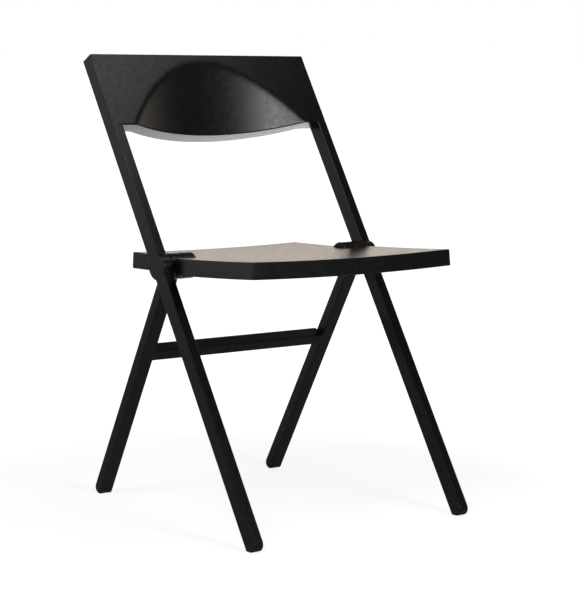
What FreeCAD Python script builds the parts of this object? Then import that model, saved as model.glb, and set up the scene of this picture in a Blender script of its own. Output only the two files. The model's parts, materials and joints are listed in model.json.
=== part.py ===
"""Folding chair in black moulded plastic, millimetres, +Z up, front towards -Y, floor at Z = 0.

The back frame, the rear leg frame and the seat all turn on one level axis through the two hubs.
Left is the sitter's left, +X. Each frame is built upright round the hub axis and then leant into place.
"""
import FreeCAD, Part
import Sketcher
import os

SIZES = [
    ("overall_width", "478"),
    ("hub_height", "435"),
    ("hub_setback", "26.08"),
    ("hub_radius", "22.8"),
    ("side_gap", "1.2"),
    ("back_lean", "32.6"),
    ("leg_width", "19.4"),
    ("leg_depth", "27"),
    ("back_reach", "409"),
    ("panel_height", "141.5"),
    ("scoop_depth", "45"),
    ("scoop_rise", "124"),
    ("scoop_half_width", "190"),
    ("rear_lean", "26.2"),
    ("rear_leg_width", "25.6"),
    ("rear_leg_depth", "20"),
    ("toe_in", "1.15"),
    ("rail_drop", "172"),
    ("rail_height", "18.6"),
    ("rail_depth", "27"),
    ("seat_knuckle", "24"),
    ("seat_tilt", "3.5"),
    ("seat_front", "237"),
    ("seat_rear", "147.5"),
    ("seat_front_half", "217.2"),
    ("seat_rear_half", "183.8"),
    ("seat_rise", "18"),
    ("seat_depth", "28.7"),
    ("seat_draft", "2.5"),
    ("seat_skin", "4"),
    ("seat_wall", "3.5"),
    ("dish_radius", "6000"),
    ("notch_gap", "3.7"),
    ("rib_pitch", "66"),
    ("rib_width", "2.4"),
    ("rib_depth", "16"),
    ("front_foot_round", "12.5"),
    ("rear_foot_round", "11"),
    ("heel_round", "3"),
    ("glide_height", "6"),
    ("glide_stem", "4.5"),
    ("glide_stem_length", "14"),
    ("axle_radius", "6"),
    ("thread_radius", "4"),
    ("insert_radius", "6.5"),
    ("insert_length", "13"),
    ("bush_radius", "7.6"),
    ("running_gap", "0.05"),
    ("washer_radius", "13.5"),
    ("washer_thickness", "1"),
    ("play", "0.1"),
    ("recess_radius", "9.2"),
    ("recess_depth", "10"),
    ("head_radius", "8.4"),
    ("head_thickness", "4"),
    ("socket_radius", "3"),
    ("cap_thickness", "1.8"),
    ("cross_radius", "2"),
    ("cross_reach", "20"),
    ("cross_slot", "5"),
    ("cross_angle", "330"),
    ("stop_depth", "4.5"),
    ("stop_angle", "150"),
    ("slack", "0.3"),
    ("stop_circle", "18"),
    ("stop_radius", "2.2"),
    ("stop_travel", "59"),
    ("seat_travel", "119"),
]
SIDES = (("left", 1), ("right", -1))
HALF = "Sizes.overall_width / 2"
LEG_INNER = f"({HALF} - Sizes.leg_width)"
REAR_OUTER = f"({LEG_INNER} - Sizes.side_gap)"
REAR_INNER = f"({REAR_OUTER} - Sizes.rear_leg_width)"
KNUCKLE_OUTER = f"({REAR_INNER} - Sizes.side_gap)"
KNUCKLE_INNER = f"({KNUCKLE_OUTER} - Sizes.seat_knuckle)"
RECESS_FLOOR = f"({KNUCKLE_INNER} + Sizes.recess_depth)"
PANEL_FOOT = "(Sizes.back_reach - Sizes.panel_height)"
DISH_CENTRE = "((Sizes.seat_rear - Sizes.seat_front) / 2)"
CORNER_SAG = (
    "((Sizes.seat_front_half ^ 2 + ((Sizes.seat_front + Sizes.seat_rear) / 2) ^ 2)"
    " / (2 * Sizes.dish_radius))"
)
LEAN = {"back": "-Sizes.back_lean", "rear": "Sizes.rear_lean", "seat": "-Sizes.seat_tilt", "hub": "0"}
HEAD_FACE = f"({RECESS_FLOOR} - Sizes.washer_thickness - 2 * Sizes.play)"
CROSS_MIDDLE = f"(({RECESS_FLOOR} + {KNUCKLE_OUTER}) / 2)"
BORED = "Sizes.axle_radius + Sizes.running_gap"
NODES = []

doc = FreeCAD.newDocument("FoldingChair")
X_AXIS = FreeCAD.Vector(1, 0, 0)
Y_AXIS = FreeCAD.Vector(0, 1, 0)


def make_sheet():
    """The driving sizes, one aliased cell each."""
    sheet = doc.addObject("Spreadsheet::Sheet", "Sizes")
    for row, (name, value) in enumerate(SIZES, 1):
        sheet.set(f"A{row}", name)
        sheet.set(f"B{row}", value)
        sheet.setAlias(f"B{row}", name)
    doc.recompute()
    return sheet


def bind(thing, sizes):
    """Bind properties to expressions over the sheet."""
    for path, expression in sizes.items():
        thing.setExpression(path, str(expression))
    return thing


def place(thing, x="0", y="0", z="0", axis=None, turn=None):
    """Set an object's place from expressions, with an optional turn about one axis."""
    if axis is not None:
        thing.Placement = FreeCAD.Placement(FreeCAD.Vector(), FreeCAD.Rotation(axis, 1))
        bind(thing, {"Placement.Rotation.Angle": turn})
    return bind(thing, {"Placement.Base.x": x, "Placement.Base.y": y, "Placement.Base.z": z})


def box(name, size, corner, axis=None, turn=None):
    """A block from its lowest corner."""
    block = doc.addObject("Part::Box", name)
    bind(block, dict(zip(("Length", "Width", "Height"), size)))
    return place(block, *corner, axis=axis, turn=turn)


def round_bar(name, radius, start, length, y="0", z="0"):
    """A cylinder along +X from the plane x = start."""
    bar = doc.addObject("Part::Cylinder", name)
    bind(bar, {"Radius": radius, "Height": length})
    return place(bar, start, y, z, axis=Y_AXIS, turn="90")


def side_bar(name, side, radius, inner, outer, y="0", z="0"):
    """A cylinder along X between two distances from the chair's middle plane, on one side."""
    start = inner if side > 0 else f"-({outer})"
    return round_bar(name, radius, start, f"({outer}) - ({inner})", y, z)


def join(name, pieces):
    """One solid from several."""
    joined = doc.addObject("Part::MultiFuse", name)
    joined.Shapes = pieces
    joined.Refine = True
    return joined


def cut(name, base, tools):
    """A solid less one or more others."""
    for number, tool in enumerate(tools):
        less = doc.addObject("Part::Cut", f"{name}_{number}" if tool is not tools[-1] else name)
        less.Base = base
        less.Tool = tool
        base = less
    return base


def common(name, first, second):
    """What two solids share."""
    shared = doc.addObject("Part::Common", name)
    shared.Base = first
    shared.Tool = second
    return shared


def fillet(name, base, chosen):
    """Round the edges that `chosen` gives a radius for."""
    doc.recompute()
    rounded = doc.addObject("Part::Fillet", name)
    rounded.Base = base
    edges = [(number, chosen(edge), chosen(edge)) for number, edge in enumerate(base.Shape.Edges, 1)]
    rounded.Edges = [entry for entry in edges if entry[1]]
    return rounded


def node(thing, name, frame):
    """Name a finished sub-part, and lean it into its frame about the hub axis."""
    thing.Label = name
    place(thing, "0", "Sizes.hub_setback", "Sizes.hub_height", axis=X_AXIS, turn=LEAN[frame])
    NODES.append(thing)
    return thing


def slab(name, frame, bottom, height):
    """A level slab over the whole footprint, in a leant frame's own axes, from its world height."""
    turn = f"-({LEAN[frame]})"
    back = "(-Sizes.overall_width)"
    down = f"(({bottom}) - Sizes.hub_height)"
    y = f"{back} * cos({turn}) - {down} * sin({turn})"
    z = f"{back} * sin({turn}) + {down} * cos({turn})"
    across = "2 * Sizes.overall_width"
    return box(name, (across, across, height), (back, y, z), axis=X_AXIS, turn=turn)


def size(name):
    """A driving size as a number."""
    return float(sheet.get(name))


def foot_radius(edge, front_radius, rear_radius):
    """The radius for a foot's two lower edges across the leg, and none for any other edge."""
    low = edge.CenterOfMass.z < -size("hub_height") / 2
    if not low or abs(edge.tangentAt(edge.FirstParameter).x) < 0.9:
        return 0
    return size(front_radius if edge.CenterOfMass.y < 0 else rear_radius)


def leg(name, frame, bar, stem, radii):
    """A leg cut level at the floor with a rounded foot, less the glide that makes its sole."""
    floor = slab(f"{name}_floor", frame, "-Sizes.hub_height", "Sizes.hub_height")
    trimmed = cut(f"{name}_trimmed", bar, [floor])
    footed = fillet(f"{name}_footed", trimmed, lambda edge: foot_radius(edge, *radii))
    sole = slab(f"{name}_sole", frame, "0", "Sizes.glide_height")
    upper = cut(f"{name}_upper", footed, [sole, stem])
    glide = join(f"{name}_glide", [common(f"{name}_pad", footed, sole), stem])
    return upper, glide


def front_leg(name, side):
    """One upright and front leg, its knuckle left off, and its glide."""
    start = "(-Sizes.hub_height / cos(Sizes.back_lean) - Sizes.leg_depth)"
    inner = LEG_INNER if side > 0 else f"-{HALF}"
    reach = f"{PANEL_FOOT} - {start}"
    corner = (inner, "-Sizes.leg_depth / 2", start)
    bar = box(f"upright_{name}", ("Sizes.leg_width", "Sizes.leg_depth", reach), corner)
    stem = doc.addObject("Part::Cylinder", f"front_stem_{name}")
    bind(stem, {"Radius": "Sizes.glide_stem", "Height": "Sizes.glide_stem_length"})
    middle = f"{side} * ({HALF} - Sizes.leg_width / 2)"
    place(stem, middle, "0", "-(Sizes.hub_height - Sizes.glide_height / 2) / cos(Sizes.back_lean)")
    return leg(f"front_leg_{name}", "back", bar, stem, ("front_foot_round", "heel_round"))


def rear_leg(name, side):
    """One rear leg, toed in from just below the hub's washers, and its glide."""
    start = "(Sizes.washer_radius + Sizes.slack)"
    reach = "(Sizes.hub_height / cos(Sizes.rear_lean) + Sizes.leg_depth)"
    toe = f"{side} * Sizes.toe_in"
    inner = REAR_INNER if side > 0 else f"-{REAR_OUTER}"
    corner = (
        f"{inner} - {reach} * sin({toe})",
        "-Sizes.rear_leg_depth / 2",
        f"-{start} - {reach} * cos({toe})",
    )
    section = ("Sizes.rear_leg_width", "Sizes.rear_leg_depth", reach)
    bar = box(f"rear_bar_{name}", section, corner, axis=Y_AXIS, turn=toe)
    stem = doc.addObject("Part::Cylinder", f"rear_stem_{name}")
    bind(stem, {"Radius": "Sizes.glide_stem", "Height": "Sizes.glide_stem_length"})
    depth = "(Sizes.hub_height - Sizes.glide_height / 2) / cos(Sizes.rear_lean)"
    inset = f"({depth} - {start}) * tan(Sizes.toe_in)"
    middle = f"{side} * ({REAR_INNER} + Sizes.rear_leg_width / 2 - {inset})"
    place(stem, middle, "0", f"-{depth}")
    return leg(f"rear_leg_{name}", "rear", bar, stem, ("heel_round", "rear_foot_round"))


def scoop(name, shift):
    """The drum that hollows the backrest: its axis is tilted so the hollow deepens downwards."""
    tilt = "atan(Sizes.scoop_depth / Sizes.scoop_rise)"
    sagitta = f"(Sizes.scoop_depth * cos({tilt}))"
    radius = f"((Sizes.scoop_half_width ^ 2 + {sagitta} ^ 2) / (2 * {sagitta}))"
    drum = doc.addObject("Part::Cylinder", name)
    bind(drum, {"Radius": radius, "Height": "4 * Sizes.panel_height"})
    low = "(2 * Sizes.panel_height)"
    deepest = f"(Sizes.scoop_depth - Sizes.leg_depth / 2 + {shift})"
    y = f"{deepest} - {radius} * cos({tilt}) + {low} * sin({tilt})"
    z = f"{PANEL_FOOT} - {radius} * sin({tilt}) - {low} * cos({tilt})"
    return place(drum, "0", y, z, axis=X_AXIS, turn=tilt)


def backrest():
    """The panel, its back bulged to keep its thickness, and the hollow cut in its front."""
    corner = (f"-{HALF}", "-Sizes.leg_depth / 2", PANEL_FOOT)
    across = ("Sizes.overall_width", "Sizes.leg_depth", "Sizes.panel_height")
    panel = box("panel", across, corner)
    span = ("2 * Sizes.scoop_half_width", "2 * Sizes.scoop_depth", "Sizes.panel_height")
    behind = box("behind", span, ("-Sizes.scoop_half_width", "0", PANEL_FOOT))
    bulge = common("bulge", behind, scoop("bulge_drum", "Sizes.leg_depth"))
    return cut("backrest", join("panel_and_bulge", [panel, bulge]), [scoop("scoop_drum", "0")])


def carrier(name, thing):
    """A holder with a place of its own for a piece that keeps its own place inside it."""
    holder = doc.addObject("Part::Compound", name)
    holder.Links = [thing]
    return holder


def sector(name, side, radius, inner, outer, start, sweep):
    """A slice of a disc about the hub axis, from a start angle above straight ahead downwards."""
    disc = side_bar(f"{name}_disc", side, radius, inner, outer)
    bind(disc, {"Angle": sweep})
    return place(carrier(name, disc), axis=X_AXIS, turn=f"270 - ({start})")


def hub_ring(name, side, inner_radius, outer_radius, inner, outer):
    """A bush or washer on the hub axis."""
    disc = side_bar(f"{name}_disc", side, outer_radius, inner, outer)
    return cut(name, disc, [side_bar(f"{name}_bore", side, inner_radius, inner, outer)])


def radial_pin(name, side, radius, back, reach, angle, middle):
    """A pin standing across the hub axis at an angle above straight ahead."""
    pin = doc.addObject("Part::Cylinder", name)
    bind(pin, {"Radius": radius, "Height": f"{back} + {reach}"})
    y = f"{back} * cos({angle})"
    z = f"-{back} * sin({angle})"
    return place(pin, f"{side} * ({middle})", y, z, axis=X_AXIS, turn=f"90 - {angle}")


def make_back_frame():
    """The backrest and both uprights with their front legs and knuckles, one moulding."""
    solids = [backrest()]
    holes = []
    for name, side in SIDES:
        upper, glide = front_leg(name, side)
        knuckle = side_bar(f"front_knuckle_{name}", side, "Sizes.hub_radius", LEG_INNER, HALF)
        solids += [upper, knuckle]
        insert_end = f"{LEG_INNER} + Sizes.insert_length"
        holes.append(
            side_bar(f"insert_hole_{name}", side, "Sizes.insert_radius", LEG_INNER, insert_end)
        )
        holes.append(leg_stop(f"leg_stop_hole_{name}", side))
        node(glide, f"front_glide_{name}", "back")
        pin = carrier(f"leg_stop_pin_{name}", leg_stop(f"leg_stop_{name}", side))
        node(pin, f"leg_stop_pin_{name}", "back")
    return node(cut("back_frame", join("back_frame_solid", solids), holes), "back_frame", "back")


def leg_stop(name, side):
    """A dowel in the front leg's knuckle that runs in the rear leg's arc slot."""
    angle = "(Sizes.stop_angle - Sizes.back_lean)"
    y = f"-Sizes.stop_circle * cos({angle})"
    z = f"Sizes.stop_circle * sin({angle})"
    inner = f"{REAR_OUTER} - Sizes.stop_depth"
    outer = f"{LEG_INNER} + 2 * Sizes.stop_depth"
    return side_bar(name, side, "Sizes.stop_radius", inner, outer, y, z)


def arc_slot(name, side):
    """The blind arc slot in the rear leg's knuckle that the front leg's dowel runs in."""
    margin = "(asin((Sizes.stop_radius + Sizes.slack) / Sizes.stop_circle) / 1deg)"
    start = f"Sizes.stop_angle + Sizes.rear_lean + {margin}"
    sweep = f"Sizes.stop_travel + 2 * {margin}"
    floor = f"({REAR_OUTER} - Sizes.stop_depth - Sizes.slack)"
    wide = "(Sizes.stop_radius + Sizes.slack)"
    outer_radius = f"Sizes.stop_circle + {wide}"
    ring = sector(f"{name}_ring", side, outer_radius, floor, REAR_OUTER, start, sweep)
    core = side_bar(f"{name}_core", side, f"Sizes.stop_circle - {wide}", floor, REAR_OUTER)
    return cut(name, ring, [core])


def make_rear_frame():
    """Both rear legs, their knuckles and the cross rail, one moulding."""
    rail_size = (f"2 * {REAR_INNER}", "Sizes.rail_depth", "Sizes.rail_height")
    rail_top = "(-Sizes.rail_drop - Sizes.rail_height)"
    solids = [box("rail", rail_size, (f"-{REAR_INNER}", "-Sizes.rear_leg_depth / 2", rail_top))]
    holes = []
    for name, side in SIDES:
        upper, glide = rear_leg(name, side)
        knuckle = side_bar(
            f"rear_knuckle_{name}", side, "Sizes.hub_radius", REAR_INNER, REAR_OUTER
        )
        solids += [upper, knuckle]
        holes.append(
            side_bar(f"rear_bore_{name}", side, "Sizes.bush_radius", REAR_INNER, REAR_OUTER)
        )
        holes.append(arc_slot(f"arc_slot_{name}", side))
        node(glide, f"rear_glide_{name}", "rear")
    return node(
        cut("rear_leg_frame", join("rear_frame_solid", solids), holes), "rear_leg_frame", "rear"
    )


def seat_block(name, inset, draft):
    """The seat's outline as a block, wider at the foot, stepped in behind the front legs."""
    body = doc.addObject("PartDesign::Body", name)
    sketch = body.newObject("Sketcher::SketchObject", f"{name}_outline")
    plane = [o for o in body.Origin.OriginFeatures if o.Role == "XY_Plane"][0]
    sketch.AttachmentSupport = [(plane, "")]
    sketch.MapMode = "FlatFace"
    bind(sketch, {"AttachmentOffset.Base.z": "Sizes.seat_rise + Sizes.slack"})
    front = f"(-Sizes.seat_front + {inset})"
    notch = f"(-Sizes.hub_radius - Sizes.notch_gap - {inset})"
    rear = f"(Sizes.seat_rear - {inset})"
    wide = f"(Sizes.seat_front_half - {inset})"
    slim = f"(Sizes.seat_rear_half - {inset})"
    half = [(wide, front), (wide, notch), (slim, notch), (slim, rear)]
    corners = half + [(f"-{x}", y) for x, y in reversed(half)]
    return outline_pad(body, sketch, corners, draft)


def outline_pad(body, sketch, corners, draft):
    """Pad a closed outline downwards whose corners are held by expressions."""
    points = []
    for x, y in corners:
        values = [sheet.evalExpression(term.replace("Sizes.", "")) for term in (x, y)]
        points.append(FreeCAD.Vector(float(values[0]), float(values[1]), 0))
    for number, point in enumerate(points):
        following = points[(number + 1) % len(points)]
        sketch.addGeometry(Part.LineSegment(point, following), False)
    for number, (x, y) in enumerate(corners):
        following = (number + 1) % len(corners)
        sketch.addConstraint(Sketcher.Constraint("Coincident", number, 2, following, 1))
        for kind, value, term in (("X", points[number].x, x), ("Y", points[number].y, y)):
            constraint = Sketcher.Constraint(f"Distance{kind}", -1, 1, number, 1, value)
            place_name = f"corner_{number}_{kind}"
            index = sketch.addConstraint(constraint)
            sketch.renameConstraint(index, place_name)
            sketch.setExpression(f"Constraints.{place_name}", term)
    pad = body.newObject("PartDesign::Pad", f"{body.Name}_pad")
    pad.Profile = sketch
    pad.Reversed = True
    bind(pad, {"Length": "3 * Sizes.seat_rise", "TaperAngle": draft})
    return body


def dish(name, lower):
    """The great ball whose underside is the seat's shallow hollow, lowered by a depth."""
    ball = doc.addObject("Part::Sphere", name)
    bind(ball, {"Radius": "Sizes.dish_radius"})
    z = f"Sizes.seat_rise - {CORNER_SAG} + Sizes.dish_radius - ({lower})"
    return place(ball, "0", DISH_CENTRE, z, axis=X_AXIS, turn="90")


def seat_ribs(inner_block):
    """The crossed ribs under the seat's skin."""
    bars = []
    along = "(Sizes.seat_front + Sizes.seat_rear)"
    low = "-2 * Sizes.seat_rise"
    tall = "4 * Sizes.seat_rise"
    for number in range(-2, 3):
        x = f"{number} * Sizes.rib_pitch - Sizes.rib_width / 2"
        size_ = ("Sizes.rib_width", along, tall)
        bars.append(box(f"long_rib_{number + 2}", size_, (x, "-Sizes.seat_front", low)))
    for number in range(-3, 2):
        y = f"{number} * Sizes.rib_pitch + {DISH_CENTRE} / 2 - Sizes.rib_width / 2"
        size_ = ("2 * Sizes.seat_front_half", "Sizes.rib_width", tall)
        bars.append(box(f"cross_rib_{number + 3}", size_, ("-Sizes.seat_front_half", y, low)))
    under = common("ribs_inside", join("rib_grid", bars), inner_block)
    return common("ribs", under, dish("rib_dish", "Sizes.seat_skin + Sizes.rib_depth"))


def cross_slot(name, side):
    """The slot under the seat's knuckle that the axle's cross pin runs in."""
    margin = "(asin((Sizes.cross_radius + Sizes.slack) / Sizes.axle_radius) / 1deg)"
    start = f"Sizes.cross_angle - Sizes.seat_tilt + {margin}"
    sweep = f"Sizes.seat_travel + 2 * {margin}"
    inner = f"{CROSS_MIDDLE} - Sizes.cross_slot / 2"
    outer = f"{CROSS_MIDDLE} + Sizes.cross_slot / 2"
    return sector(name, side, "Sizes.hub_radius + Sizes.slack", inner, outer, start, sweep)


def make_seat():
    """The seat: a dished skin, a drafted skirt, ribs beneath and a knuckle each side."""
    outer = common("seat_outer", seat_block("seat_body", "0", "Sizes.seat_draft"),
                   dish("under_dish", "Sizes.seat_depth"))
    inner_block = seat_block("seat_inside", "Sizes.seat_wall", "Sizes.seat_draft")
    hollow = cut("seat_hollow", inner_block, [dish("skin_dish", "Sizes.seat_skin")])
    shell = cut("seat_skirted", outer, [dish("top_dish", "0"), hollow])
    ribs = cut("rib_web", seat_ribs(inner_block), [dish("rib_top_dish", "Sizes.seat_skin / 2")])
    solids = [shell, ribs]
    holes = []
    for name, side in SIDES:
        solids.append(
            side_bar(
                f"seat_knuckle_{name}", side, "Sizes.hub_radius", KNUCKLE_INNER, KNUCKLE_OUTER
            )
        )
        bore = side_bar(
            f"seat_bore_{name}", side, "Sizes.bush_radius", RECESS_FLOOR, KNUCKLE_OUTER
        )
        recess = side_bar(
            f"recess_{name}", side, "Sizes.recess_radius", KNUCKLE_INNER, RECESS_FLOOR
        )
        slot = cross_slot(f"cross_slot_{name}", side)
        holes += [bore, recess, slot]
        bush = hub_ring(
            f"seat_bush_ring_{name}", side, BORED, "Sizes.bush_radius", RECESS_FLOOR, KNUCKLE_OUTER
        )
        node(cut(f"seat_bush_{name}", bush, [slot]), f"seat_bush_{name}", "seat")
        cap_end = f"{KNUCKLE_INNER} + Sizes.cap_thickness"
        cap = side_bar(f"cap_{name}", side, "Sizes.recess_radius", KNUCKLE_INNER, cap_end)
        node(carrier(f"hub_cap_{name}", cap), f"hub_cap_{name}", "seat")
    return node(cut("seat_shell", join("seat_solid", solids), holes), "seat_shell", "seat")


def make_axle(name, side):
    """A shoulder bolt with its insert, bush, washers and the cross pin that stops the seat."""
    head_end = f"({HEAD_FACE} - Sizes.head_thickness)"
    thread_end = f"({LEG_INNER} + Sizes.insert_length - Sizes.washer_thickness)"
    insert_end = f"{LEG_INNER} + Sizes.insert_length"
    shank = join(f"bolt_solid_{name}", [
        side_bar(f"bolt_head_{name}", side, "Sizes.head_radius", head_end, HEAD_FACE),
        side_bar(f"bolt_shoulder_{name}", side, "Sizes.axle_radius", HEAD_FACE, LEG_INNER),
        side_bar(f"bolt_thread_{name}", side, "Sizes.thread_radius", LEG_INNER, thread_end),
    ])
    socket = side_bar(
        f"bolt_socket_{name}", side, "Sizes.socket_radius", head_end,
        f"{head_end} + Sizes.socket_radius",
    )
    back = "sqrt(Sizes.axle_radius ^ 2 - Sizes.cross_radius ^ 2)"
    crossing = ("Sizes.cross_radius", back, "Sizes.cross_reach", "Sizes.cross_angle")
    hole = radial_pin(f"cross_hole_{name}", side, *crossing, CROSS_MIDDLE)
    node(cut(f"axle_bolt_{name}", shank, [socket, hole]), f"axle_bolt_{name}", "hub")
    pin = radial_pin(f"cross_pin_{name}", side, *crossing, CROSS_MIDDLE)
    node(carrier(f"seat_stop_pin_{name}", pin), f"seat_stop_pin_{name}", "hub")
    insert = ("Sizes.thread_radius", "Sizes.insert_radius", LEG_INNER, insert_end)
    node(hub_ring(f"insert_{name}", side, *insert), f"threaded_insert_{name}", "hub")
    bush = hub_ring(f"rear_bush_{name}", side, BORED, "Sizes.bush_radius", REAR_INNER, REAR_OUTER)
    node(bush, f"rear_leg_bush_{name}", "rear")
    gaps = (
        ("outer_washer", "Sizes.washer_radius", REAR_OUTER, "hub"),
        ("inner_washer", "Sizes.washer_radius", KNUCKLE_OUTER, "rear"),
        ("head_washer", "Sizes.head_radius", HEAD_FACE, "hub"),
    )
    for label, radius, start, frame in gaps:
        inner = f"{start} + Sizes.play"
        outer = f"{inner} + Sizes.washer_thickness"
        washer = hub_ring(f"{label}_ring_{name}", side, BORED, radius, inner, outer)
        node(washer, f"{label}_{name}", frame)


def check_and_write():
    """Stop on any failed object or bad solid, then write each sub-part."""
    doc.recompute()
    failed = [o.Name for o in doc.Objects if {"Invalid", "Error"} & set(o.State)]
    if failed:
        raise RuntimeError(f"failed: {failed}")
    os.makedirs("parts", exist_ok=True)
    for thing in NODES:
        shape = thing.Shape
        if shape.isNull() or not shape.isValid() or len(shape.Solids) != 1:
            raise RuntimeError(f"bad shape: {thing.Label} with {len(shape.Solids)} solids")
        shape.exportStep(f"parts/{thing.Label}.step")
        print(f"{thing.Label:24s} {shape.Volume / 1000:9.2f} cm3  {shape.optimalBoundingBox()}")


sheet = make_sheet()
make_back_frame()
make_rear_frame()
make_seat()
for side_name, side_sign in SIDES:
    make_axle(side_name, side_sign)
check_and_write()
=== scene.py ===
import json
from math import atan2, cos, exp, log, pi, radians, sqrt, tan

import bmesh
import bpy
from mathutils import Matrix, Vector


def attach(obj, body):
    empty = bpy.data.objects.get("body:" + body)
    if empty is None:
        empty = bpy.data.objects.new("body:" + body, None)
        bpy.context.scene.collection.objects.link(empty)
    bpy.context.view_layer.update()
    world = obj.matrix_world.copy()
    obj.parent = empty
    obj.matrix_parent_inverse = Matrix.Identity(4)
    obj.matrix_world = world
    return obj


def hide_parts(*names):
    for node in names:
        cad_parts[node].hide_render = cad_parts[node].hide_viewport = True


bl_info = {
    "name": "Folding Chair in Moulded Plastic",
    "version": (1, 0, 0),
    "blender": (4, 5, 0),
    "location": "3D View > Sidebar > Folding Chair",
    "description": "Models the chair's mouldings, feet and finishes over its packed frame",
    "category": "Object",
}

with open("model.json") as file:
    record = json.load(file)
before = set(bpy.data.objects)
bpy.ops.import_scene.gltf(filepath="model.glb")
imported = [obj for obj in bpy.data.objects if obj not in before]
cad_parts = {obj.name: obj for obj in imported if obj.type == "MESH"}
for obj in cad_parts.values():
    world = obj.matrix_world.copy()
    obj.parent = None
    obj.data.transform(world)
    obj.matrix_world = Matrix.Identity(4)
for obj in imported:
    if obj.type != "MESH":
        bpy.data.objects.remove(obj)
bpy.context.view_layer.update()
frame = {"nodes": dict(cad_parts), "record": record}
SIDES = (("left", 1), ("right", -1))
HUB = Vector((0, 0.02608, 0.435))  # a point on the axis that all three frames turn on
AROUND = 72  # segments round a knuckle
FLAT = radians(30)  # edges that turn more than this are rounded
TINY = 1e-6  # lengths closer than this are the same
LEVEL = 1e-5  # how close to the floor a foot's edges lie
EDGE_STEPS = 3  # segments across a rounded edge
FOOT_STEPS = 10  # segments across a rounded foot
PANEL_GRID = (160, 48)  # squares across and up the backrest
SEAT_GRID = (36, 32)  # squares across and along the seat
RIB_CUTS = 12  # cuts along a rib, so that it follows the dish
UPRIGHT_END = 0.8  # how far below its top edge the uprights end, as a share of the panel
TOE_IN_START = 0.0138  # the rear legs turn inwards from here down, below the hub axis
CAP_RECESS = 0.004  # depth of the hole that a hub cap closes

LENS = 124.5
CAMERA_PLACE = (-2.26896, HUB.y - 2.83065, 0.85953)
CAMERA_HEADING = radians(-39.41)
CAMERA_DIP = radians(7.77)
CAMERA_ROLL = radians(1.52)
AHEAD = (0.635, 0.773, 0)  # level direction that the camera faces
BRIGHT_SPOT = (1.0, 1.25, 0)  # centre of the floor's painted glow, which stands in for a sweep lit from behind the chair
FLOOR_SIZE = 30
SOFT_BOXES = (  # name, place, the point it faces, side and brightness
    ("front box", (0.25, -2.8, 1.35), (0.05, 0.2, 0.7), 0.8, 18.0),
    ("high right box", (0.6, -0.45, 2.25), (-0.2, 0.1, 0.6), 0.8, 1.8),
    ("left box", (-2.6, 2.2, 0.9), (0, 0, 0.5), 2.0, 0.55),
    ("high left box", (-1.6, -0.6, 2.4), (0, 0, 0), 0.8, 9.0),
)


# ---------------------------------------------------------------- shared modelling


def leaning(turn):
    """The place of a frame that was modelled upright round the hub axis."""
    return Matrix.Translation(HUB) @ Matrix.Rotation(turn, 4, "X")


def slid(bm, verts, x=0, y=0, z=0):
    """Move vertices."""
    bmesh.ops.translate(bm, verts=verts, vec=(x, y, z))


def block(size, low):
    """A box from its size and lowest corner."""
    bm = bmesh.new()
    bmesh.ops.create_cube(bm, size=1)
    bmesh.ops.scale(bm, verts=bm.verts, vec=size)
    slid(bm, bm.verts, *(a + b / 2 for a, b in zip(low, size)))
    return bm


def thickened(bm, x=0, y=0, z=0):
    """Give a flat sheet a thickness along a direction and turn its faces outwards."""
    grown = bmesh.ops.extrude_face_region(bm, geom=bm.faces[:])["geom"]
    slid(bm, [v for v in grown if isinstance(v, bmesh.types.BMVert)], x, y, z)
    bmesh.ops.recalc_face_normals(bm, faces=bm.faces)
    return bm


def barrel(radius, low, high):
    """A knuckle about the hub axis between two distances along it."""
    bm = bmesh.new()
    middle = Matrix.Translation(((low + high) / 2, 0, 0)) @ Matrix.Rotation(pi / 2, 4, "Y")
    bmesh.ops.create_cone(
        bm, cap_ends=True, segments=AROUND, radius1=radius, radius2=radius,
        depth=high - low, matrix=middle,
    )
    return bm


def drawn_out(bm, radius, half_depth, up, end):
    """Draw the part of a round rim that faces up or down out to a straight end."""
    reach = sqrt(radius ** 2 - half_depth ** 2) * up
    for y in (half_depth, -half_depth):
        corner = Vector((0, y, reach))
        min(bm.verts, key=lambda v: (v.co - corner).length).co = corner
    inside = [v for v in bm.verts if abs(v.co.y) < half_depth - TINY and v.co.z * up > 0]
    inside.sort(key=lambda v: v.co.y)
    inside[0].co = Vector((0, -half_depth, end))
    inside[-1].co = Vector((0, half_depth, end))
    bmesh.ops.dissolve_verts(bm, verts=inside[1:-1])


def leg_blank(radius, half_depth, top, foot, low, high):
    """A knuckle and the bar that runs through it, seen from the side, given its width."""
    bm = bmesh.new()
    facing = Matrix.Rotation(pi / 2, 4, "Y")
    bmesh.ops.create_circle(bm, cap_ends=True, segments=AROUND, radius=radius, matrix=facing)
    if top:
        drawn_out(bm, radius, half_depth, 1, top)
    drawn_out(bm, radius, half_depth, -1, foot)
    slid(bm, bm.verts, x=low)
    return thickened(bm, x=high - low)


def combined(base, tool):
    """Join one closed shape to another."""
    things = [as_object("work", bm) for bm in (base, tool)]
    step = things[0].modifiers.new("step", "BOOLEAN")
    step.operation = "UNION"
    step.solver = "EXACT"
    step.object = things[1]
    depsgraph = bpy.context.evaluated_depsgraph_get()
    mesh = bpy.data.meshes.new_from_object(things[0].evaluated_get(depsgraph))
    bm = bmesh.new()
    bm.from_mesh(mesh)
    bpy.data.meshes.remove(mesh)
    for thing in things:
        bpy.data.meshes.remove(thing.data)
    bmesh.ops.remove_doubles(bm, verts=bm.verts, dist=TINY)
    return bm


def cut_level(bm, height, keep_above):
    """Cut a closed shape level at a height, keep one side and close it again."""
    bmesh.ops.bisect_plane(
        bm, geom=bm.verts[:] + bm.edges[:] + bm.faces[:], plane_co=(0, 0, height),
        plane_no=(0, 0, 1), clear_inner=keep_above, clear_outer=not keep_above,
    )
    bmesh.ops.holes_fill(bm, edges=[e for e in bm.edges if e.is_boundary], sides=0)


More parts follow.
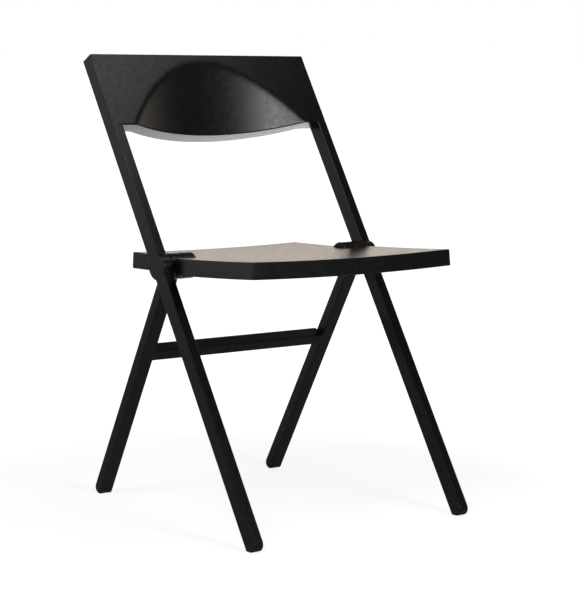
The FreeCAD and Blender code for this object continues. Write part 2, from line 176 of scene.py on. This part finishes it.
def rounded(bm, edges, offset, segments, profile=0.5):
    """Round edges off."""
    bmesh.ops.bevel(
        bm, geom=edges, offset=offset, segments=segments, profile=profile,
        affect="EDGES", material=-1, clamp_overlap=False,
    )


def rounded_foot(bm, toe_radius, heel_radius, toe_is_front):
    """Round the two edges of a level foot that run across the leg."""
    for front in (True, False):
        across = [
            e for e in bm.edges
            if all(abs(v.co.z) < LEVEL for v in e.verts)
            and abs(e.verts[0].co.y - e.verts[1].co.y) < LEVEL
        ]
        middle = sum(e.verts[0].co.y for e in across) / len(across)
        chosen = [e for e in across if (e.verts[0].co.y < middle) == front]
        turn = chosen[0].calc_face_angle()
        radius = toe_radius if front == toe_is_front else heel_radius
        bulge = (1 - 0.5 / (1 + cos(turn / 2))) ** 2  # a true arc at a corner that isn't square
        rounded(bm, chosen, radius * tan(turn / 2), FOOT_STEPS, bulge)


def softened(bm, radius):
    """Round every sharp edge."""
    sharp = [e for e in bm.edges if e.is_manifold and e.calc_face_angle(0) > FLAT]
    rounded(bm, sharp, radius, EDGE_STEPS)


def as_object(name, bm):
    """A mesh object at the origin from a finished shape, which is used up."""
    mesh = bpy.data.meshes.new(name)
    bm.to_mesh(mesh)
    bm.free()
    thing = bpy.data.objects.new(name, mesh)
    bpy.context.scene.collection.objects.link(thing)
    return thing


def piece(name, bm, body, node, material):
    """Finish a moulding: smooth shading, its CAD node, its body and its material."""
    thing = as_object(name, bm)
    thing.data.shade_smooth()
    even = thing.modifiers.new("even shading", "WEIGHTED_NORMAL")
    even.keep_sharp = True
    thing.data.materials.append(material)
    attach(thing, body)
    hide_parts(node)


# ---------------------------------------------------------------- materials


def linear(hex_colour):
    """A hex colour as linear red, green, blue and alpha."""
    values = [int(hex_colour[i:i + 2], 16) / 255 for i in (1, 3, 5)]
    return [v / 12.92 if v <= 0.04045 else ((v + 0.055) / 1.055) ** 2.4 for v in values] + [1]


def add(tree, kind, settings=(), inputs=(), links=()):
    """Add a node, set it up and link its inputs."""
    made = tree.nodes.new(kind)
    for key, value in dict(settings).items():
        setattr(made, key, value)
    for key, value in dict(inputs).items():
        made.inputs[key].default_value = value
    for key, source in dict(links).items():
        tree.links.new(source, made.inputs[key])
    return made


def fresh(name):
    """A new material's tree, its shader and the surface's own coordinates."""
    material = bpy.data.materials.new(name)
    material.use_nodes = True
    tree = material.node_tree
    shader = tree.nodes["Principled BSDF"]
    place = add(tree, "ShaderNodeTexCoord").outputs["Object"]
    return material, tree, shader, place


def per_metre(size_mm):
    """How many features of a size in millimetres fit in a metre."""
    return 1000 / size_mm


def varied(tree, place, size_mm, low, high, detail=2.0):
    """Noise of a real size, mapped between two values."""
    noise = add(tree, "ShaderNodeTexNoise", {}, {"Scale": per_metre(size_mm), "Detail": detail},
                {"Vector": place})
    return add(tree, "ShaderNodeMapRange", {},
               {"From Min": 0.3, "From Max": 0.7, "To Min": low, "To Max": high},
               {"Value": noise.outputs["Fac"]}).outputs["Result"]


def tinted(tree, factor, dark, light):
    """A colour between two hex colours."""
    return add(tree, "ShaderNodeMix", {"data_type": "RGBA"}, {6: linear(dark), 7: linear(light)},
               {0: factor}).outputs[2]


def grained(tree, shader, height, depth_mm, strength):
    """Raise the surface by a pattern."""
    bump = add(tree, "ShaderNodeBump", {}, {"Distance": depth_mm / 1000, "Strength": strength},
               {"Height": height})
    tree.links.new(bump.outputs["Normal"], shader.inputs["Normal"])


def moulded_polypropylene():
    """Glass-filled polypropylene from a spark-eroded mould: a satin black with a fine even grain.

    The grain breaks reflections up into soft streaks; the wider ripple is the slight sink that
    thick sections show. The real grain is about 0.3 mm and is drawn at 0.9 mm so that it shows.
    """
    finish = bpy.context.scene.chair_finish
    material, tree, shader, place = fresh("Polypropylene, glass filled, moulded")
    cloud = varied(tree, place, 35, 0, 1, 3.0)
    tree.links.new(tinted(tree, cloud, finish.dark, finish.light), shader.inputs["Base Color"])
    tree.links.new(varied(tree, place, 9, finish.roughness - 0.03, finish.roughness + 0.04),
                   shader.inputs["Roughness"])
    grain = varied(tree, place, 0.9, 0, 1, 4.0)
    sink = varied(tree, place, 60, 0, 8, 0.0)
    both = add(tree, "ShaderNodeMath", {"operation": "ADD"}, {}, {0: grain, 1: sink}).outputs[0]
    grained(tree, shader, both, 0.03, finish.grain)
    shader.inputs["IOR"].default_value = 1.49
    return material


def moulded_rubber():
    """Thermoplastic rubber: duller than the frame, with a coarser grain and scuffs on the sole."""
    material, tree, shader, place = fresh("Thermoplastic rubber, moulded")
    scuff = varied(tree, place, 4, 0, 1, 5.0)
    tree.links.new(tinted(tree, scuff, "#131313", "#232221"), shader.inputs["Base Color"])
    tree.links.new(varied(tree, place, 3, 0.5, 0.68), shader.inputs["Roughness"])
    grained(tree, shader, varied(tree, place, 1.1, 0, 1, 3.0), 0.05, 0.5)
    shader.inputs["IOR"].default_value = 1.5
    return material


def turned_acetal():
    """Acetal: a dense, slightly waxy black with fine turning marks round the hub axis."""
    material, tree, shader, place = fresh("Acetal, turned")
    rings = add(tree, "ShaderNodeTexWave", {"bands_direction": "X"},
                {"Scale": per_metre(0.8) / (2 * pi), "Distortion": 0.4}, {"Vector": place})
    cloud = varied(tree, place, 4, 0, 1)
    tree.links.new(tinted(tree, cloud, "#1d1d1e", "#262627"), shader.inputs["Base Color"])
    tree.links.new(varied(tree, place, 2, 0.28, 0.36), shader.inputs["Roughness"])
    grained(tree, shader, rings.outputs["Fac"], 0.02, 0.3)
    shader.inputs["IOR"].default_value = 1.48
    return material


def blackened_steel():
    """Black-oxide steel: a warm near-black over bright metal, oily and uneven."""
    material, tree, shader, place = fresh("Steel, black oxide")
    worn = varied(tree, place, 6, 0, 1, 4.0)
    tree.links.new(tinted(tree, worn, "#2c2a29", "#4a4745"), shader.inputs["Base Color"])
    tree.links.new(varied(tree, place, 1.5, 0.3, 0.48), shader.inputs["Roughness"])
    grained(tree, shader, varied(tree, place, 0.5, 0, 1), 0.01, 0.4)
    shader.inputs["Metallic"].default_value = 1.0
    return material


def passivated_steel():
    """Zinc-plated steel with a yellow passivate: a pale gold that drifts towards pink."""
    material, tree, shader, place = fresh("Steel, zinc and yellow passivate")
    drift = varied(tree, place, 5, 0, 1, 2.0)
    tree.links.new(tinted(tree, drift, "#b9a96b", "#c7a58c"), shader.inputs["Base Color"])
    tree.links.new(varied(tree, place, 1.2, 0.25, 0.4), shader.inputs["Roughness"])
    shader.inputs["Metallic"].default_value = 1.0
    return material


def moulded_nylon():
    """Nylon: the same black as the frame, a little smoother."""
    material, tree, shader, place = fresh("Nylon, moulded")
    cloud = varied(tree, place, 12, 0, 1)
    tree.links.new(tinted(tree, cloud, "#141414", "#1a1a1a"), shader.inputs["Base Color"])
    tree.links.new(varied(tree, place, 4, 0.34, 0.4), shader.inputs["Roughness"])
    grained(tree, shader, varied(tree, place, 0.8, 0, 1, 3.0), 0.02, 0.3)
    shader.inputs["IOR"].default_value = 1.53
    return material


MAKERS = {
    "moulded_plastic": moulded_polypropylene,
    "glide_rubber": moulded_rubber,
    "bush_plastic": turned_acetal,
    "bolt_steel": blackened_steel,
    "insert_brass": passivated_steel,
    "cap_plastic": moulded_nylon,
}
FINISHES = {}


def finish_for(slot):
    """The material of a slot, made once."""
    if slot not in FINISHES:
        FINISHES[slot] = MAKERS[slot]()
    return FINISHES[slot]


# ---------------------------------------------------------------- settings


def length(name, description, default):
    """A length setting in metres."""
    return bpy.props.FloatProperty(
        name=name, description=description, default=default, unit="LENGTH", subtype="DISTANCE",
        precision=4,
    )


def angle(name, description, default):
    """An angle setting, given in degrees."""
    return bpy.props.FloatProperty(
        name=name, description=description, default=radians(default), unit="ROTATION",
        subtype="ANGLE",
    )


class ChairFrameSizes(bpy.types.PropertyGroup):
    """Sizes of the two leg frames and their hubs."""

    half_width: length("Half width", "Middle plane to the outer faces", 0.239)
    hub_radius: length("Hub radius", "Radius of every knuckle", 0.0228)
    gap: length("Gap", "Running gap between neighbouring knuckles", 0.0012)
    front_width: length("Front leg width", "Front leg, across the chair", 0.0194)
    front_depth: length("Front leg depth", "Front leg, seen from the side", 0.027)
    rear_width: length("Rear leg width", "Rear leg, across the chair", 0.0256)
    rear_depth: length("Rear leg depth", "Rear leg, seen from the side", 0.020)
    back_reach: length("Back reach", "Hub axis to the top edge of the backrest", 0.409)
    panel_height: length("Panel height", "Height of the backrest panel", 0.1415)
    scoop_depth: length("Scoop depth", "Depth of the hollow at the panel's lower edge", 0.045)
    scoop_rise: length("Scoop rise", "Height of the hollow's arch", 0.124)
    scoop_half: length("Scoop half width", "Middle plane to the ends of the hollow", 0.190)
    scoop_blend: length("Scoop blend", "Softness of the arch edge", 0.0012)
    rail_drop: length("Rail drop", "Hub axis to the top of the cross rail, along the leg", 0.172)
    rail_height: length("Rail height", "Cross rail, along the leg", 0.0186)
    rail_depth: length("Rail depth", "Cross rail, front to back", 0.027)
    sole: length("Sole height", "Height of the glide under each leg", 0.006)
    edge: length("Edge radius", "Rounding of the long edges", 0.0018)
    front_toe: length("Front toe radius", "Rounding of the front feet's tips", 0.0125)
    rear_toe: length("Rear toe radius", "Rounding of the rear feet's tips", 0.011)
    heel: length("Heel radius", "Rounding of the other edge of each foot", 0.003)
    back_lean: angle("Back lean", "Front legs and backrest from upright", 32.6)
    rear_lean: angle("Rear lean", "Rear legs from upright", 26.2)
    toe_in: angle("Toe-in", "Rear legs towards each other, from the hubs down", 1.15)


class ChairSeatSizes(bpy.types.PropertyGroup):
    """Sizes of the seat."""

    front: length("Front", "Hub axis to the front edge", 0.237)
    rear: length("Rear", "Hub axis to the rear edge", 0.1475)
    front_half: length("Front half width", "Middle plane to the side, ahead of the hubs", 0.2172)
    rear_half: length("Rear half width", "Middle plane to the side, behind the notch", 0.1838)
    notch: length("Notch", "Hub axis forward to the notch", 0.0265)
    rise: length("Rise", "Hub axis up to the seat's corners", 0.018)
    depth: length("Depth", "Height of the skirt", 0.0287)
    flare: length("Flare", "How far the skirt's foot stands out beyond its top", 0.00125)
    skin: length("Skin", "Thickness of the top", 0.004)
    wall: length("Wall", "Thickness of the skirt", 0.0035)
    dish: length("Dish radius", "Radius of the shallow hollow in the top", 6.0)
    rib_pitch: length("Rib pitch", "Distance between neighbouring ribs", 0.066)
    rib_width: length("Rib width", "Thickness of a rib", 0.0024)
    rib_depth: length("Rib depth", "Height of a rib below the skin", 0.016)
    knuckle: length("Knuckle width", "Width of the seat's knuckles", 0.024)
    recess: length("Recess radius", "Radius of the hole that the hub cap closes", 0.0094)
    tilt: angle("Tilt", "How far the seat falls towards the rear", 3.5)


class ChairFinish(bpy.types.PropertyGroup):
    """Finish of the moulded plastic."""

    dark: bpy.props.StringProperty(
        name="Dark", description="Darker tone of the plastic, as a hex colour", default="#0b0b0b"
    )
    light: bpy.props.StringProperty(
        name="Light", description="Lighter tone of the plastic, as a hex colour", default="#100f0f"
    )
    roughness: bpy.props.FloatProperty(
        name="Roughness", description="Middle roughness of the plastic", default=0.31,
        min=0, max=1, subtype="FACTOR",
    )
    grain: bpy.props.FloatProperty(
        name="Grain", description="Strength of the moulded grain", default=0.35,
        min=0, max=1, subtype="FACTOR",
    )


# ---------------------------------------------------------------- front frame


def hollow_depth(x, above, sizes):
    """Depth of the backrest's hollow at a point: a drum leaning back, with a soft edge."""
    lean = atan2(sizes.scoop_depth, sizes.scoop_rise)
    sagitta = sizes.scoop_depth * cos(lean)
    radius = (sizes.scoop_half ** 2 + sagitta ** 2) / (2 * sagitta)
    drop = radius - sqrt(radius ** 2 - x ** 2)
    depth = sizes.scoop_depth - drop / cos(lean) - above * tan(lean)
    soft = sizes.scoop_blend * log(1 + exp(min(depth / sizes.scoop_blend, 200)))
    return soft if soft > 1e-5 else 0


def scooped_panel(sizes):
    """The backrest panel, its front hollowed and its back bulged to match."""
    bm = bmesh.new()
    foot = sizes.back_reach - sizes.panel_height
    upright = Matrix.Rotation(pi / 2, 4, "X")
    across, up = PANEL_GRID
    bmesh.ops.create_grid(bm, x_segments=across, y_segments=up, size=0.5, matrix=upright)
    bmesh.ops.scale(bm, verts=bm.verts, vec=(2 * sizes.half_width, 1, sizes.panel_height))
    slid(bm, bm.verts, z=foot + sizes.panel_height / 2)
    for vert in bm.verts:
        depth = hollow_depth(vert.co.x, vert.co.z - foot, sizes)
        vert.co.y = depth - sizes.front_depth / 2
    return thickened(bm, y=sizes.front_depth)


def front_leg(side, sizes):
    """One upright and front leg with its knuckle, down past the floor, upright in its frame."""
    top = sizes.back_reach - UPRIGHT_END * sizes.panel_height
    foot = -HUB.z / cos(sizes.back_lean) - sizes.front_depth
    low, high = sorted((side * sizes.half_width, side * (sizes.half_width - sizes.front_width)))
    return leg_blank(sizes.hub_radius, sizes.front_depth / 2, top, foot, low, high)


def stand(bm, place, toe, heel, toe_is_front):
    """Lean a frame into place, cut its feet level and round them."""
    bmesh.ops.transform(bm, matrix=place, verts=bm.verts)
    cut_level(bm, 0, True)
    rounded_foot(bm, toe, heel, toe_is_front)


def split_feet(bm, sole):
    """Take the soles off a frame's feet: the frame, then a shape with both soles."""
    soles = bm.copy()
    cut_level(bm, sole, True)
    cut_level(soles, sole, False)
    return bm, soles


def one_side(bm, side):
    """A copy of the half of a shape that is on one side."""
    half = bm.copy()
    gone = [v for v in half.verts if v.co.x * side < 0]
    bmesh.ops.delete(half, geom=gone, context="VERTS")
    return half


def add_feet(label, soles, body):
    """One glide for each side from a shape that holds both."""
    for name, side in SIDES:
        piece(f"{label}_sole_{name}", one_side(soles, side), body, f"{label}_glide_{name}",
              finish_for("glide_rubber"))
    soles.free()


class CHAIR_OT_front_frame(bpy.types.Operator):
    """Model the backrest, uprights and front legs, and their glides"""

    bl_idname = "chair.front_frame"
    bl_label = "Front Frame"

    def execute(self, context):
        sizes = context.scene.chair_frames
        bm = scooped_panel(sizes)
        for _, side in SIDES:
            bm = combined(bm, front_leg(side, sizes))
        stand(bm, leaning(-sizes.back_lean), sizes.front_toe, sizes.heel, True)
        softened(bm, sizes.edge)
        bm, soles = split_feet(bm, sizes.sole)
        piece("front_frame_moulding", bm, "back_frame", "back_frame",
              finish_for("moulded_plastic"))
        add_feet("front", soles, "back_frame")
        return {"FINISHED"}


# ---------------------------------------------------------------- rear frame


def rear_leg(side, sizes):
    """One rear leg with its knuckle, toed in, down past the floor, upright in its frame."""
    outer = sizes.half_width - sizes.front_width - sizes.gap
    foot = -HUB.z / cos(sizes.rear_lean) - sizes.front_depth
    low, high = sorted((side * outer, side * (outer - sizes.rear_width)))
    bm = leg_blank(sizes.hub_radius, sizes.rear_depth / 2, 0, foot, low, high)
    ends = [v for v in bm.verts if abs(v.co.z - foot) < TINY]
    slid(bm, ends, x=side * (foot + TOE_IN_START) * tan(sizes.toe_in))
    return bm


class CHAIR_OT_rear_frame(bpy.types.Operator):
    """Model the rear legs and their cross rail, and their glides"""

    bl_idname = "chair.rear_frame"
    bl_label = "Rear Frame"

    def execute(self, context):
        sizes = context.scene.chair_frames
        inner = sizes.half_width - sizes.front_width - sizes.gap - sizes.rear_width
        low = (-inner, -sizes.rear_depth / 2, -sizes.rail_drop - sizes.rail_height)
        bm = block((2 * inner, sizes.rail_depth, sizes.rail_height), low)
        for _, side in SIDES:
            bm = combined(bm, rear_leg(side, sizes))
        stand(bm, leaning(sizes.rear_lean), sizes.rear_toe, sizes.heel, False)
        softened(bm, sizes.edge)
        bm, soles = split_feet(bm, sizes.sole)
        piece("rear_frame_moulding", bm, "rear_leg_frame", "rear_leg_frame",
              finish_for("moulded_plastic"))
        add_feet("rear", soles, "rear_leg_frame")
        return {"FINISHED"}


# ---------------------------------------------------------------- seat


def dish_height(x, y, sizes):
    """Height of the seat's top above the hub axis: a very shallow hollow, corners highest."""
    middle = (sizes.rear - sizes.front) / 2
    half = (sizes.rear + sizes.front) / 2
    fall = (sizes.front_half ** 2 + half ** 2 - x ** 2 - (y - middle) ** 2) / (2 * sizes.dish)
    return sizes.rise - fall


def seat_sheet(sizes):
    """The seat's plan as a flat sheet with a notch behind each front leg."""
    bm = bmesh.new()
    across, along = SEAT_GRID
    bmesh.ops.create_grid(bm, x_segments=across, y_segments=along, size=0.5)
    bmesh.ops.scale(bm, verts=bm.verts, vec=(2 * sizes.front_half, sizes.front + sizes.rear, 1))
    slid(bm, bm.verts, y=(sizes.rear - sizes.front) / 2)
    planes = (((sizes.rear_half, 0, 0), (1, 0, 0)), ((-sizes.rear_half, 0, 0), (1, 0, 0)),
              ((0, -sizes.notch, 0), (0, 1, 0)))
    for point, normal in planes:
        bmesh.ops.bisect_plane(
            bm, geom=bm.verts[:] + bm.edges[:] + bm.faces[:], plane_co=point, plane_no=normal
        )
    middles = [(f, f.calc_center_median()) for f in bm.faces]
    gone = [f for f, c in middles if abs(c.x) > sizes.rear_half and c.y > -sizes.notch]
    bmesh.ops.delete(bm, geom=gone, context="FACES")
    return bm


def seat_tray(sizes):
    """The dished top with its skirt, open underneath."""
    bm = seat_sheet(sizes)
    for vert in bm.verts:
        vert.co.z = dish_height(vert.co.x, vert.co.y, sizes)
    thickened(bm, z=-sizes.depth)
    low = [v for v in bm.verts if v.co.z < sizes.rise - 0.8 * sizes.depth]
    middle = (sizes.rear - sizes.front) / 2
    half = (sizes.rear + sizes.front) / 2
    flared = (1 + sizes.flare / sizes.front_half, 1 + sizes.flare / half, 1)
    bmesh.ops.scale(bm, verts=low, vec=flared, space=Matrix.Translation((0, -middle, 0)))
    under = [f for f in bm.faces if f.normal.z < -0.5]
    bmesh.ops.inset_region(bm, faces=under, thickness=sizes.wall, use_even_offset=True)
    raised = bmesh.ops.extrude_face_region(bm, geom=[f for f in under if f.is_valid])["geom"]
    slid(bm, [v for v in raised if isinstance(v, bmesh.types.BMVert)], z=sizes.depth - sizes.skin)
    bmesh.ops.delete(bm, geom=[f for f in under if f.is_valid], context="FACES")
    return bm


def rib(low, high, sizes):
    """One rib between two points in plan, its top in the skin and its foot following the dish."""
    size = (high[0] - low[0], high[1] - low[1], sizes.rib_depth + sizes.skin / 2)
    bm = block(size, (low[0], low[1], -sizes.rib_depth - sizes.skin))
    run = 0 if size[0] > size[1] else 1
    along = [e for e in bm.edges if abs((e.verts[0].co - e.verts[1].co)[run]) > 0.05]
    bmesh.ops.subdivide_edges(bm, edges=along, cuts=RIB_CUTS)
    for vert in bm.verts:
        vert.co.z += dish_height(vert.co.x, vert.co.y, sizes)
    return bm


def seat_ribs(sizes):
    """The crossed ribs under the skin."""
    half_rib = sizes.rib_width / 2
    half_wall = sizes.wall / 2
    shapes = []
    for number in range(-2, 3):
        x = number * sizes.rib_pitch
        low = (x - half_rib, half_wall - sizes.front)
        shapes.append(rib(low, (x + half_rib, sizes.rear - half_wall), sizes))
    middle = (sizes.rear - sizes.front) / 4
    for number in range(-3, 2):
        y = number * sizes.rib_pitch + middle
        half = (sizes.front_half if y < -sizes.notch else sizes.rear_half) - half_wall
        shapes.append(rib((-half, y - half_rib), (half, y + half_rib), sizes))
    return shapes


def seat_knuckle(side, frames, sizes):
    """A knuckle of the seat with the recess in its inner end that a cap closes."""
    outer = frames.half_width - frames.front_width - frames.rear_width - 2 * frames.gap
    inner = outer - sizes.knuckle
    bm = barrel(frames.hub_radius, inner, outer)
    softened(bm, frames.edge)
    end = [f for f in bm.faces if f.normal.x < -0.999]
    rim = frames.hub_radius - frames.edge - sizes.recess
    bmesh.ops.inset_region(bm, faces=end, thickness=rim, use_even_offset=True)
    sunk = bmesh.ops.extrude_face_region(bm, geom=end)["geom"]
    slid(bm, [v for v in sunk if isinstance(v, bmesh.types.BMVert)], x=CAP_RECESS)
    bmesh.ops.delete(bm, geom=[f for f in end if f.is_valid], context="FACES")
    if side < 0:
        bmesh.ops.mirror(bm, geom=bm.verts[:] + bm.edges[:] + bm.faces[:], axis="X",
                         merge_dist=0)
        bmesh.ops.delete(bm, geom=[v for v in bm.verts if v.co.x > 0], context="VERTS")
        bmesh.ops.recalc_face_normals(bm, faces=bm.faces)
    return bm


def gathered(shapes):
    """One mesh that holds several closed shapes."""
    bm = bmesh.new()
    for shape in shapes:
        mesh = bpy.data.meshes.new("part")
        shape.to_mesh(mesh)
        shape.free()
        bm.from_mesh(mesh)
        bpy.data.meshes.remove(mesh)
    return bm


class CHAIR_OT_seat(bpy.types.Operator):
    """Model the dished seat with its skirt, ribs and knuckles"""

    bl_idname = "chair.seat"
    bl_label = "Seat"

    def execute(self, context):
        frames, sizes = context.scene.chair_frames, context.scene.chair_seat
        tray = seat_tray(sizes)
        softened(tray, frames.edge)
        knuckles = [seat_knuckle(side, frames, sizes) for _, side in SIDES]
        bm = gathered([tray] + seat_ribs(sizes) + knuckles)
        bmesh.ops.transform(bm, matrix=leaning(-sizes.tilt), verts=bm.verts)
        piece("seat_moulding", bm, "seat", "seat_shell",
              finish_for("moulded_plastic"))
        return {"FINISHED"}


# ---------------------------------------------------------------- hardware and stage


class CHAIR_OT_hardware(bpy.types.Operator):
    """Give the bolts, bushes, washers, pins, inserts and caps their materials"""

    bl_idname = "chair.hardware"
    bl_label = "Hub Hardware"

    def execute(self, context):
        for entry in frame["record"]["subparts"]:
            thing = frame["nodes"][entry["node"]]
            thing.data.materials.clear()
            thing.data.materials.append(finish_for(entry["material_slot"]))
        return {"FINISHED"}


def soft_light(name, place, target, size, radiance):
    """A square soft box that faces a point; its power comes from how bright its face is."""
    lamp = bpy.data.lights.new(name, "AREA")
    lamp.size = size
    lamp.energy = radiance * pi * size ** 2
    thing = bpy.data.objects.new(name, lamp)
    thing.location = place
    thing.rotation_euler = (Vector(target) - Vector(place)).to_track_quat("-Z", "Y").to_euler()
    thing.visible_camera = False
    bpy.context.scene.collection.objects.link(thing)


def ramp(tree, value, low, high, at_low, at_high):
    """A smooth step between two values."""
    return add(tree, "ShaderNodeMapRange", {"interpolation_type": "SMOOTHSTEP"},
               {"From Min": low, "From Max": high, "To Min": at_low, "To Max": at_high},
               {"Value": value}).outputs["Result"]


def product(tree, first, second):
    """Two values multiplied."""
    return add(tree, "ShaderNodeMath", {"operation": "MULTIPLY"}, {},
               {0: first, 1: second}).outputs[0]


def behind(tree, place):
    """How far a point or direction lies behind the chair as the camera faces it."""
    return add(tree, "ShaderNodeVectorMath", {"operation": "DOT_PRODUCT"},
               {1: AHEAD}, {0: place}).outputs["Value"]


def seen_white(tree, lit, white):
    """White where a surface is seen directly, and another value for the light it gives."""
    direct = add(tree, "ShaderNodeLightPath").outputs["Is Camera Ray"]
    return add(tree, "ShaderNodeMix", {"data_type": "FLOAT"}, {},
               {0: direct, 2: lit, 3: white}).outputs[0]


def studio_world():
    """A white sweep behind the chair, with the ceiling and the near side of the room dim."""
    world = bpy.data.worlds.new("Studio")
    world.use_nodes = True
    tree = world.node_tree
    looking = add(tree, "ShaderNodeTexCoord").outputs["Generated"]
    height = add(tree, "ShaderNodeSeparateXYZ", {}, {}, {"Vector": looking}).outputs["Z"]
    sweep = ramp(tree, behind(tree, looking), 0.1, 0.9, 0.03, 1.55)
    lit = product(tree, sweep, ramp(tree, height, 0.2, 0.6, 1.0, 0.05))
    shade = tree.nodes["Background"].inputs
    white = add(tree, "ShaderNodeValue").outputs[0]
    white.default_value = 1.0
    tree.links.new(seen_white(tree, lit, white), shade["Strength"])
    direct = add(tree, "ShaderNodeLightPath").outputs["Is Camera Ray"]
    tree.links.new(tinted(tree, direct, "#fff4e6", "#ffffff"), shade["Color"])
    bpy.context.scene.world = world


def floor_sheet():
    """A wide floor, seen white, with a painted glow brightest in a patch behind the chair that
    stands in for a sweep lit from behind.
    """
    bm = bmesh.new()
    bmesh.ops.create_grid(bm, x_segments=8, y_segments=8, size=FLOOR_SIZE)
    thing = as_object("floor", bm)
    material, tree, shader, place = fresh("Painted floor, white")
    tree.links.new(tinted(tree, varied(tree, place, 800, 0, 1), "#969696", "#9c9c9c"),
                   shader.inputs["Base Color"])
    # Painted glow: for the light it gives, the flat floor glows up to four times white near the
    # spot behind the chair and fades towards the front, lighting the chair from behind and showing
    # in its reflections.
    spot = add(tree, "ShaderNodeVectorMath", {"operation": "DISTANCE"}, {1: BRIGHT_SPOT},
               {0: place}).outputs["Value"]
    near = ramp(tree, spot, 0.6, 1.3, 4.0, 0.05)
    lit = product(tree, near, ramp(tree, behind(tree, place), -0.6, 0.3, 0.1, 1.0))
    away = add(tree, "ShaderNodeVectorMath", {"operation": "LENGTH"}, {},
               {0: place}).outputs["Value"]
    white = ramp(tree, away, 0.45, 1.1, 0.84, 1.05)
    tree.links.new(seen_white(tree, lit, white), shader.inputs["Emission Strength"])
    shader.inputs["Emission Color"].default_value = (1, 1, 1, 1)
    shader.inputs["Roughness"].default_value = 0.9
    shader.inputs["Specular IOR Level"].default_value = 0.1
    thing.data.materials.append(material)


class CHAIR_OT_stage(bpy.types.Operator):
    """Set the camera, the floor and soft studio light"""

    bl_idname = "chair.stage"
    bl_label = "Stage"

    def execute(self, context):
        scene = context.scene
        lens = bpy.data.cameras.new("camera")
        lens.sensor_width = 36
        lens.lens = LENS
        lens.clip_end = 100
        camera = bpy.data.objects.new("camera", lens)
        scene.collection.objects.link(camera)
        camera.matrix_world = (
            Matrix.Translation(CAMERA_PLACE)
            @ Matrix.Rotation(CAMERA_HEADING, 4, "Z")
            @ Matrix.Rotation(pi / 2 - CAMERA_DIP, 4, "X")
            @ Matrix.Rotation(CAMERA_ROLL, 4, "Z")
        )
        scene.camera = camera
        scene.view_settings.view_transform = "Standard"
        floor_sheet()
        studio_world()
        for name, place, target, size, radiance in SOFT_BOXES:
            soft_light(name, place, target, size, radiance)
        return {"FINISHED"}


class CHAIR_PT_panel(bpy.types.Panel):
    """The chair's pieces and settings"""

    bl_idname = "CHAIR_PT_panel"
    bl_label = "Folding Chair"
    bl_space_type = "VIEW_3D"
    bl_region_type = "UI"
    bl_category = "Folding Chair"

    def draw(self, context):
        for settings in (context.scene.chair_frames, context.scene.chair_seat,
                         context.scene.chair_finish):
            column = self.layout.column()
            for key in settings.bl_rna.properties.keys():
                if key not in ("rna_type", "name"):
                    column.prop(settings, key)
        for operator in OPERATORS:
            self.layout.operator(operator.bl_idname)


OPERATORS = (CHAIR_OT_front_frame, CHAIR_OT_rear_frame, CHAIR_OT_seat, CHAIR_OT_hardware,
             CHAIR_OT_stage)
GROUPS = {"chair_frames": ChairFrameSizes, "chair_seat": ChairSeatSizes,
          "chair_finish": ChairFinish}


def register():
    """Register the settings, operators and panel."""
    for key, group in GROUPS.items():
        bpy.utils.register_class(group)
        setattr(bpy.types.Scene, key, bpy.props.PointerProperty(type=group))
    for kind in OPERATORS + (CHAIR_PT_panel,):
        bpy.utils.register_class(kind)


def unregister():
    """Take the settings, operators and panel away again."""
    for kind in reversed(OPERATORS + (CHAIR_PT_panel,)):
        bpy.utils.unregister_class(kind)
    for key, group in GROUPS.items():
        delattr(bpy.types.Scene, key)
        bpy.utils.unregister_class(group)


def main():
    """Build everything."""
    register()
    bpy.ops.chair.front_frame()
    bpy.ops.chair.rear_frame()
    bpy.ops.chair.seat()
    bpy.ops.chair.hardware()
    bpy.ops.chair.stage()


if __name__ == "__main__":
    main()
